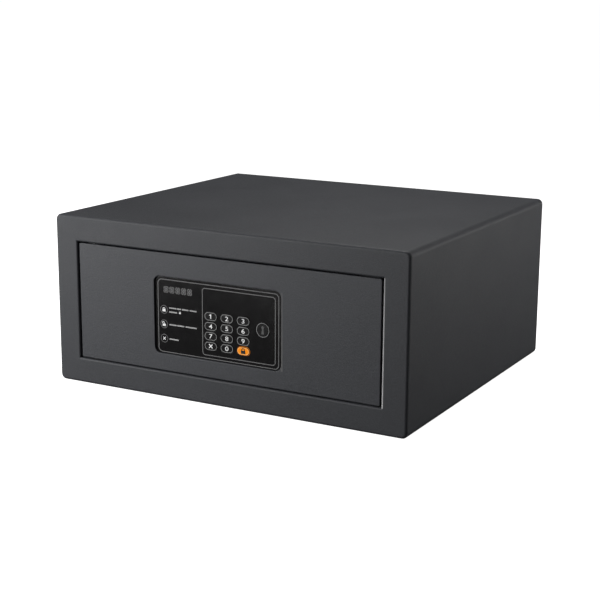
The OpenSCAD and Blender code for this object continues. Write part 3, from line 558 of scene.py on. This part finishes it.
def offset_pairs(points, width, closed):
    """The two sides of a line of that width along the points."""
    count = len(points)
    pairs = []
    for k, (x, z) in enumerate(points):
        before = points[(k - 1) % count] if closed or k > 0 else points[k]
        after = points[(k + 1) % count] if closed or k < count - 1 else points[k]
        along = Vector((after[0] - before[0], after[1] - before[1])).normalized()
        side = Vector((-along.y, along.x)) * width / 2
        pairs.append(((x + side.x, z + side.y), (x - side.x, z - side.y)))
    return pairs


class Print:
    """Thin raised ink on a face that looks forwards. Points are (x, z) in millimetres from its centre."""

    def __init__(self, name, x, y, z):
        self.name = name
        self.centre = (x, y, z)
        self.mesh = bmesh.new()

    def corner(self, point, y):
        cx, cy, cz = self.centre
        return self.mesh.verts.new((cx + point[0] * MM, cy + y, cz + point[1] * MM))

    def fill(self, points):
        """A filled outline."""
        front = [self.corner(p, -INK_PROUD) for p in points]
        back = [self.corner(p, INK_SUNK) for p in points]
        self.mesh.faces.new(front)
        self.mesh.faces.new(back[::-1])
        for k in range(len(points)):
            j = (k + 1) % len(points)
            self.mesh.faces.new((front[k], back[k], back[j], front[j]))

    def line(self, points, width, closed=False):
        """A line of one width, closed into a ring or with square ends."""
        rows = []
        for a, b in offset_pairs(points, width, closed):
            front = [self.corner(p, -INK_PROUD) for p in (a, b)]
            rows.append(front + [self.corner(p, INK_SUNK) for p in (b, a)])
        count = len(rows)
        for k in range(count if closed else count - 1):
            here, there = rows[k], rows[(k + 1) % count]
            for i in range(4):
                j = (i + 1) % 4
                self.mesh.faces.new((here[i], there[i], there[j], here[j]))
        if not closed:
            self.mesh.faces.new(rows[0])
            self.mesh.faces.new(rows[-1][::-1])

    def ring(self, x, z, r, width):
        self.line(arc(x, z, r, 0, 360)[:-1], width, closed=True)

    def bar(self, x0, x1, z, height):
        """A word-sized bar with rounded ends."""
        self.fill(round_rect(x0, z - height / 2, x1, z + height / 2, 0.3 * height))

    def segment(self, a, b, width):
        """A display segment: a bar with pointed ends."""
        a, b = Vector(a), Vector(b)
        along = (b - a).normalized() * width / 2
        side = Vector((-along.y, along.x))
        self.fill([a, a + along - side, b - along - side, b, b - along + side, a + along + side])

    def padlock(self, x, z, scale, opened=False):
        """A padlock sign, 3.2 mm wide at scale 1; the shackle stands up and aside when it is opened."""
        s = scale
        self.fill(round_rect(x - 1.6 * s, z - 1.6 * s, x + 1.6 * s, z + 0.5 * s, 0.3 * s))
        r = 0.95 * s
        shackle_x = x - 0.8 * s if opened else x
        shackle_z = z + (1.3 if opened else 0.9) * s
        foot = z + 0.5 * s
        free_end = shackle_z - 0.5 * s if opened else foot
        bow = arc(shackle_x, shackle_z, r, 0, 180)
        self.line([(shackle_x + r, foot), *bow, (shackle_x - r, free_end)], 0.6 * s)

    def cross(self, x, z, reach, width):
        """An X drawn as one outline of four equal arms."""
        half = width / math.sqrt(2)
        arm = [(half, 0), (reach + half / 2, reach - half / 2), (reach - half / 2, reach + half / 2)]
        points = []
        for _ in range(4):
            points += [(x + px, z + pz) for px, pz in arm]
            arm = [(-pz, px) for px, pz in arm]
        self.fill(points)

    def text(self, words, size, bold, widen):
        """Words in the built-in font, centred on the print's centre and widened by a factor."""
        curve = bpy.data.curves.new("digit", "FONT")
        curve.body = words
        curve.size = size * MM
        curve.offset = bold * MM
        curve.extrude = (INK_PROUD + INK_SUNK) / 2
        curve.resolution_u = 6
        glyph = add_object("digit", curve)
        bpy.context.view_layer.update()
        solid = glyph.evaluated_get(bpy.context.evaluated_depsgraph_get())
        shape = bpy.data.meshes.new_from_object(solid)
        low = [min(v.co[i] for v in shape.vertices) for i in range(2)]
        high = [max(v.co[i] for v in shape.vertices) for i in range(2)]
        cx, cy, cz = self.centre
        shape.transform(Matrix.Translation((-(low[0] + high[0]) / 2, -(low[1] + high[1]) / 2, 0)))
        shape.transform(Matrix.Diagonal((widen, 1, 1, 1)))
        shape.transform(Matrix.Rotation(math.pi / 2, 4, "X"))
        shape.transform(Matrix.Translation((cx, cy - (INK_PROUD - INK_SUNK) / 2, cz)))
        self.mesh.from_mesh(shape)
        bpy.data.objects.remove(glyph)
        bpy.data.meshes.remove(shape)

    def finish(self, material, body):
        bmesh.ops.remove_doubles(self.mesh, verts=self.mesh.verts, dist=1e-7)
        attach(add_mesh(self.name, self.mesh, material), body)


def face_centre(node):
    """The middle of the front face of a CAD node."""
    low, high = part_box(node)
    return (low.x + high.x) / 2, low.y, (low.z + high.z) / 2


# ---- Keypad panel ----

OUTLINE_WIDTH = 0.85
# Outlines on the panel as left, bottom, right, top and corner radius, from the panel's centre
OUTLINES = [(-72.7, -39.9, 72.9, 38.1, 4.7), (-17.8, -36.3, 68.9, 34.2, 3.2)]
SIGN_X = -65.6
SIGN_RADIUS = 4.3
SIGN_RING_WIDTH = 0.55
SIGN_ROWS = (5.8, -9.9, -25.4)
SIGN_LOCK_SCALE = 1.2
# How far a padlock's reference point lies below the middle of its ring or key
LOCK_DROP = 0.3
# Reach of each arm and line width
SIGN_CROSS = (1.5, 0.75)
# The small padlock in the legend, as x, z and scale
SMALL_LOCK = (-45.6, 4.3, 0.65)
# Word-sized bars of the legend, as left, right and height above the panel's centre
LEGEND_BARS = [
    (-59.2, -50.0, 8.2), (-49.2, -44.2, 8.2), (-43.0, -34.9, 8.2), (-33.7, -25.0, 8.2),
    (-59.2, -49.2, 3.9),
    (-59.2, -50.0, -9.8), (-49.2, -40.3, -9.8), (-38.9, -25.0, -9.8),
    (-59.2, -47.7, -25.4),
]
LEGEND_HEIGHT = 1.4
DISPLAY_COUNT = 5
DISPLAY_PITCH = 7.3
DISPLAY_SIZE = (5.1, 6.1)
DISPLAY_LEFT = -65.2
DISPLAY_BOTTOM = 24.5
SEGMENT_WIDTH = 0.66
SEGMENT_GAP = 0.22
# How far the slanting segments stay off the corners of a digit
SLANT_INSET = 0.75


def display_digit(print_, x, z):
    """The sixteen unlit segments of one display digit."""
    w, h = DISPLAY_SIZE
    xs = (x, x + w / 2, x + w)
    zs = (z, z + h / 2, z + h)
    for level in zs:
        for left, right in zip(xs, xs[1:]):
            print_.segment((left + SEGMENT_GAP, level), (right - SEGMENT_GAP, level), SEGMENT_WIDTH)
    for across in xs:
        for low, high in zip(zs, zs[1:]):
            print_.segment((across, low + SEGMENT_GAP), (across, high - SEGMENT_GAP), SEGMENT_WIDTH)
    for sx in (-1, 1):
        for sz in (-1, 1):
            outer = (xs[1] + sx * (w / 2 - SLANT_INSET), zs[1] + sz * (h / 2 - SLANT_INSET))
            inner = (xs[1] + sx * SLANT_INSET * 0.6, zs[1] + sz * SLANT_INSET * 0.8)
            print_.segment(inner, outer, 0.8 * SEGMENT_WIDTH)


def make_panel_prints(inks):
    """Outlines, the legend with its signs, and the unlit display."""
    place = face_centre("keypad_face")
    outlines = Print("panel_outlines", *place)
    for left, bottom, right, top, r in OUTLINES:
        outlines.line(round_rect(left, bottom, right, top, r), OUTLINE_WIDTH, closed=True)
    for row in SIGN_ROWS:
        outlines.ring(SIGN_X, row, SIGN_RADIUS, SIGN_RING_WIDTH)
    outlines.finish(inks["ink_grey"], "door")

    legend = Print("panel_legend", *place)
    legend.padlock(SIGN_X, SIGN_ROWS[0] - LOCK_DROP, SIGN_LOCK_SCALE)
    legend.padlock(SIGN_X, SIGN_ROWS[1] - LOCK_DROP, SIGN_LOCK_SCALE, opened=True)
    legend.cross(SIGN_X, SIGN_ROWS[2], *SIGN_CROSS)
    legend.padlock(*SMALL_LOCK)
    legend.finish(inks["ink_white"], "door")

    bars = Print("panel_legend_bars", *place)
    for left, right, level in LEGEND_BARS:
        bars.bar(left, right, level, LEGEND_HEIGHT)
    bars.finish(inks["ink_pale"], "door")

    digits = Print("display_digits", *place)
    for k in range(DISPLAY_COUNT):
        display_digit(digits, DISPLAY_LEFT + k * DISPLAY_PITCH, DISPLAY_BOTTOM)
    digits.finish(inks["ink_dim"], "door")


# ---- Keys and cap ----

# How far the middle of a key's ring lies inside its edge, and how wide it is
KEY_RING_IN = 0.7
KEY_RING_WIDTH = 0.65
KEY_RIM = 0.6
KEY_LOCK_SCALE = 1.65
KEY_CROSS = (2.0, 1.1)
DIGIT_HEIGHT = 6.6
DIGIT_WIDEN = 1.3
DIGIT_BOLD = 0.04
# Outline of the digit 1, which the built-in font draws as a bare stroke
DIGIT_ONE = [
    (0.85, -2.35), (0.85, 2.35), (-0.1, 2.35), (-1.55, 1.45), (-1.55, 0.5), (-0.35, 1.15), (-0.35, -2.35),
]
# A key's cap is the part this close to its front; a wider flange behind that holds it in
KEY_CAP_DEPTH = 1.5 * MM


def key_face_size(node):
    """Width and height of the front of a key, in millimetres."""
    mesh = frame["nodes"][node].data
    front = min(v.co.y for v in mesh.vertices)
    cap = [v.co for v in mesh.vertices if v.co.y < front + KEY_CAP_DEPTH]
    width = max(c.x for c in cap) - min(c.x for c in cap)
    height = max(c.z for c in cap) - min(c.z for c in cap)
    return width / MM, height / MM


def key_ring(print_, width, height, inside, line_width):
    """A line round the face of a key, its middle that far inside the edge."""
    w, h = width / 2 - inside, height / 2 - inside
    print_.line(round_rect(-w, -h, w, h, h - 0.01), line_width, closed=True)


def make_key_prints(inks):
    """A ring and a sign on each key; the lock key's edge is black and its ring lies inside that."""
    nodes = [part["node"] for part in frame["record"]["subparts"]]
    for node in (n for n in nodes if n.startswith("key_")):
        sign = node.removeprefix("key_")
        is_lock = sign == "lock"
        width, height = key_face_size(node)
        ring = Print("print_ring_" + sign, *face_centre(node))
        key_ring(ring, width, height, KEY_RING_IN + (KEY_RIM if is_lock else 0), KEY_RING_WIDTH)
        ring.finish(inks["ink_amber" if is_lock else "ink_ring"], node)
        mark = Print("print_sign_" + sign, *face_centre(node))
        if is_lock:
            key_ring(mark, width, height, KEY_RIM / 2 + 0.05, KEY_RIM)
            mark.padlock(0, -LOCK_DROP, KEY_LOCK_SCALE)
        elif sign == "clear":
            mark.cross(0, 0, *KEY_CROSS)
        elif sign == "1":
            mark.fill(DIGIT_ONE)
        else:
            mark.text(sign, DIGIT_HEIGHT, DIGIT_BOLD, DIGIT_WIDEN)
        mark.finish(inks["ink_black" if is_lock else "ink_white"], node)


CAP_RING_IN = 0.55
CAP_RING_WIDTH = 0.6
# Keyhole sign: height and radius of its round head, and half the width and the depth of its foot
KEYHOLE_HEAD = (2.7, 1.5)
KEYHOLE_FOOT = (1.5, 4.3)


def make_cap_print(inks):
    """A ring and a keyhole sign on the cap."""
    low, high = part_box("keyhole_cap")
    radius = (high.x - low.x) / 2 / MM
    ring = Print("print_cap_ring", *face_centre("keyhole_cap"))
    ring.ring(0, 0, radius - CAP_RING_IN, CAP_RING_WIDTH)
    ring.finish(inks["ink_ring"], "cap")
    sign = Print("print_cap_keyhole", *face_centre("keyhole_cap"))
    foot_half, foot_depth = KEYHOLE_FOOT
    sign.fill(arc(0, *KEYHOLE_HEAD, -60, 240) + [(-foot_half, -foot_depth), (foot_half, -foot_depth)])
    sign.finish(inks["ink_faint"], "cap")


# ---- Felt mat ----

MAT_PITCH = 3 * MM
MAT_HOLE_RADIUS = 13 * MM
# Shares of the mat's thickness: how far its underside and its top stay inside the CAD mat, how much the
# top rises and falls, and how much lower its cut edges are
MAT_UNDER = 0.05
MAT_TOP = 0.12
MAT_UNEVEN = 0.10
MAT_RIM = 0.16
# Sizes of the wide and the small unevenness
MAT_WAVE = 45 * MM
MAT_LUMP = 8 * MM


def felt_holes():
    """Centres of the four holes in the mat, over the anchor holes in the floor."""
    mount = next(m for m in frame["record"]["mounts"] if m["name"] == "floor_anchors")
    half_x = mount["dims"]["spacing_x_mm"] * MM / 2
    half_y = mount["dims"]["spacing_y_mm"] * MM / 2
    return [Vector((sx * half_x, sy * half_y)) for sx in (-1, 1) for sy in (-1, 1)]


def felt_grid(low, high, holes):
    """The top of the mat: a grid without the squares whose middle lies in a hole."""
    nx = round((high.x - low.x) / MAT_PITCH)
    ny = round((high.y - low.y) / MAT_PITCH)

    def place(i, j):
        return Vector((low.x + (high.x - low.x) * i / nx, low.y + (high.y - low.y) * j / ny))

    mesh = bmesh.new()
    top = {(i, j): mesh.verts.new((*place(i, j), high.z)) for i in range(nx + 1) for j in range(ny + 1)}
    for i in range(nx):
        for j in range(ny):
            square = (place(i, j) + place(i + 1, j + 1)) / 2
            if min((square - hole).length for hole in holes) > MAT_HOLE_RADIUS:
                mesh.faces.new((top[i, j], top[i + 1, j], top[i + 1, j + 1], top[i, j + 1]))
    bmesh.ops.delete(mesh, geom=[v for v in mesh.verts if not v.link_faces], context="VERTS")
    return mesh


def round_felt_holes(mesh, holes):
    """Draws the stepped edge of each hole onto its circle."""
    for v in mesh.verts:
        if not v.is_boundary:
            continue
        flat = Vector((v.co.x, v.co.y))
        hole = min(holes, key=lambda h: (flat - h).length)
        if (flat - hole).length < MAT_HOLE_RADIUS + 2 * MAT_PITCH:
            v.co.x, v.co.y = hole + (flat - hole).normalized() * MAT_HOLE_RADIUS


def thicken_felt(mesh, underside):
    """Adds the flat underside and the cut edges to the top of the mat."""
    cut_edges = [edge.verts[:] for edge in mesh.edges if edge.is_boundary]
    under = {v: mesh.verts.new((v.co.x, v.co.y, underside)) for v in mesh.verts[:]}
    for face in mesh.faces[:]:
        mesh.faces.new([under[v] for v in face.verts])
    for a, b in cut_edges:
        mesh.faces.new((a, b, under[b], under[a]))


def make_felt_mat(material):
    """A cut sheet of felt: a fine grid with round holes, soft edges and a slightly uneven surface."""
    low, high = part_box("floor_mat")
    thick = high.z - low.z
    holes = felt_holes()
    mesh = felt_grid(low, high, holes)
    round_felt_holes(mesh, holes)
    upper = mesh.verts[:]
    rim = {v for v in upper if v.is_boundary}
    thicken_felt(mesh, low.z + MAT_UNDER * thick)
    for v in upper:
        wave = noise.noise(Vector((v.co.x, v.co.y, 0)) / MAT_WAVE)
        lump = noise.noise(v.co / MAT_LUMP)
        uneven = MAT_UNEVEN * (wave * 0.5 + lump * 0.5)
        v.co.z -= (MAT_TOP + uneven) * thick + (MAT_RIM * thick if v in rim else 0.0)
    mat = add_mesh("felt_mat", mesh, material)
    for polygon in mat.data.polygons:
        polygon.use_smooth = True
    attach(mat, "cabinet")
    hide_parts("floor_mat")


# ---- Battery cells ----

CELL_STEPS = 40
CELL_COUNT = 4
# Where the sleeve ends and the band starts, as a share of half a cell's length
CELL_SPLIT = 0.42


def lathe(name, profile, material):
    """A solid turned about the X axis from (along, radius) points in metres, closed at both ends."""
    mesh = bmesh.new()
    turns = [2 * math.pi * k / CELL_STEPS for k in range(CELL_STEPS)]
    rings = [
        [mesh.verts.new((along, radius * math.cos(t), radius * math.sin(t))) for t in turns]
        for along, radius in profile
    ]
    for here, there in zip(rings, rings[1:]):
        for k in range(CELL_STEPS):
            j = (k + 1) % CELL_STEPS
            mesh.faces.new((here[k], here[j], there[j], there[k]))
    mesh.faces.new(rings[0][::-1])
    mesh.faces.new(rings[-1])
    piece = add_mesh(name, mesh, material)
    for polygon in piece.data.polygons:
        polygon.use_smooth = len(polygon.vertices) == 4
    return piece


def cell_profiles(half, r):
    """Outlines of a cell's can, sleeve and band, from its flat end to its raised terminal."""
    split = CELL_SPLIT * half
    can = [
        (-half, 0.30 * r), (-half, 0.62 * r),
        (-half + 0.3 * MM, 0.66 * r), (-half + 0.3 * MM, 0.90 * r), (-half + 0.7 * MM, 0.97 * r),
        (half - 2.0 * MM, 0.97 * r), (half - 1.6 * MM, 0.90 * r), (half - 1.3 * MM, 0.84 * r),
        (half - 1.3 * MM, 0.40 * r), (half - 0.2 * MM, 0.38 * r),
        (half, 0.34 * r), (half, 0.05 * r),
    ]
    sleeve = [
        (-half + 0.5 * MM, 0.90 * r), (-half + 0.9 * MM, 0.995 * r),
        (split, 0.995 * r), (split, 0.96 * r),
    ]
    band = [
        (split, 0.96 * r), (split, 0.995 * r),
        (half - 2.2 * MM, 0.995 * r), (half - 1.7 * MM, 0.90 * r),
    ]
    return {"can": can, "sleeve": sleeve, "band": band}


def make_cells(materials):
    """Four AA cells in the tray, laid head to tail: each a steel can in a sleeve with a coloured band."""
    low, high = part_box("batteries")
    r = (high.y - low.y) / 2
    half = (high.x - low.x) / 2
    pitch = (high.z - low.z - 2 * r) / (CELL_COUNT - 1)
    for k in range(CELL_COUNT):
        turn = Matrix.Rotation(0 if k % 2 == 0 else math.pi, 4, "Z")
        place = Matrix.Translation(((low.x + high.x) / 2, low.y + r, low.z + r + k * pitch)) @ turn
        for kind, profile in cell_profiles(half, r).items():
            piece = lathe(f"cell_{k + 1}_{kind}", profile, materials[kind])
            piece.data.transform(place)
            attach(piece, "door")
            if kind == "can":
                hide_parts("batteries")


# ---- Studio ----

LIGHT_DISTANCE = 1.35
LIGHT_SIZE = 0.7
# Soft round lights, each as name, azimuth and elevation in degrees, and power in watts
LIGHTS = [
    ("key_light", -45, 5, 8.0),
    ("middle_key_light", -45, 20, 2.0),
    ("high_key_light", -45, 40, 2.8),
    ("front_fill", -15, 5, 3.6),
    ("side_light", 105, 5, 2.6),
    ("low_side_light", 135, 5, 2.7),
    ("high_side_light", 135, 40, 1.7),
    ("top_back_light", -165, 65, 8.0),
    ("left_light", -108, 5, 2.5),
]


def make_lights():
    """Round soft boxes about the cabinet, all at one distance and aimed at its middle."""
    for name, azimuth, elevation, power in LIGHTS:
        away = direction(math.radians(azimuth), math.radians(elevation))
        data = bpy.data.lights.new(name, "AREA")
        data.shape = "DISK"
        data.size = LIGHT_SIZE
        data.energy = power
        lamp = add_object(name, data)
        lamp.location = middle + LIGHT_DISTANCE * away
        lamp.rotation_mode = "QUATERNION"
        lamp.rotation_quaternion = (-away).to_track_quat("-Z", "Y")


WORLD_GLOW = 0.018


def make_world():
    """A white backdrop where the camera sees it, and a dim even glow for everything else."""
    world = bpy.data.worlds.new("studio")
    scene.world = world
    world.use_nodes = True
    tree = world.node_tree
    glow = tree.nodes["Background"]
    white = tree.nodes.new("ShaderNodeBackground")
    for backdrop, strength in ((glow, WORLD_GLOW), (white, 1.0)):
        backdrop.inputs["Color"].default_value = (1, 1, 1, 1)
        backdrop.inputs["Strength"].default_value = strength
    path = tree.nodes.new("ShaderNodeLightPath")
    mix = tree.nodes.new("ShaderNodeMixShader")
    tree.links.new(path.outputs["Is Camera Ray"], mix.inputs[0])
    tree.links.new(glow.outputs[0], mix.inputs[1])
    tree.links.new(white.outputs[0], mix.inputs[2])
    tree.links.new(mix.outputs[0], tree.nodes["World Output"].inputs["Surface"])


FLOOR_SIDE = 60.0
FLOOR_DROP = 0.2 * MM
# The floor goes dark this far inside the cabinet's outline, a painted shadow under it, so that it
# doesn't glow through the anchor holes
EDGE_SHADE = 12 * MM


def make_floor():
    """A large pale floor that takes only a faint shadow."""
    half = FLOOR_SIDE / 2
    mesh = bpy.data.meshes.new("floor")
    corners = [(-half, -half, 0), (half, -half, 0), (half, half, 0), (-half, half, 0)]
    mesh.from_pydata(corners, [], [(0, 1, 2, 3)])
    floor = add_object("floor", mesh)
    floor.location.z = cad_low.z - FLOOR_DROP
    f = Finish("pale_floor", Roughness=0.9, Specular_IOR_Level=0.0, Emission_Color=(1, 1, 1, 1))
    f.set("Base Color", f.blend(f.noise(0.4, 2.0), (0.80, 0.80, 0.80), (0.84, 0.84, 0.84)))
    # Painted shadow: no emission under the cabinet
    under_x = f.math("LESS_THAN", f.math("ABSOLUTE", f.axis("x")), cad_high.x - EDGE_SHADE)
    under_y = f.math("LESS_THAN", f.math("ABSOLUTE", f.axis("y")), cad_high.y - EDGE_SHADE)
    f.set("Emission Strength", f.math("SUBTRACT", 1.0, f.product(under_x, under_y)))
    mesh.materials.append(f.material)
    # It shows to the camera but doesn't light the cabinet from below
    floor.visible_diffuse = False
    floor.visible_glossy = False


# ---- Build ----

make_camera()
# The imported materials step aside, so that each finish keeps the name of its slot
for plain in bpy.data.materials[:]:
    plain.name = "plain_" + plain.name
slot_materials = make_slot_materials()
dress_nodes(slot_materials)
ink_materials = {name: printing_ink(name, colour, glow) for name, (colour, glow) in INKS.items()}
make_panel_prints(ink_materials)
make_key_prints(ink_materials)
make_cap_print(ink_materials)
make_felt_mat(slot_materials["mat_felt"])
make_cells({
    "sleeve": slot_materials["cell_wrap"],
    "band": turned_metal("cell_band", CELL_COPPER, 0.25, (0.1, 1, 1)),
    "can": turned_metal("cell_can", CELL_STEEL, 0.22, (0.1, 1, 1)),
})
make_lights()
make_world()
make_floor()
scene.view_settings.view_transform = "Standard"
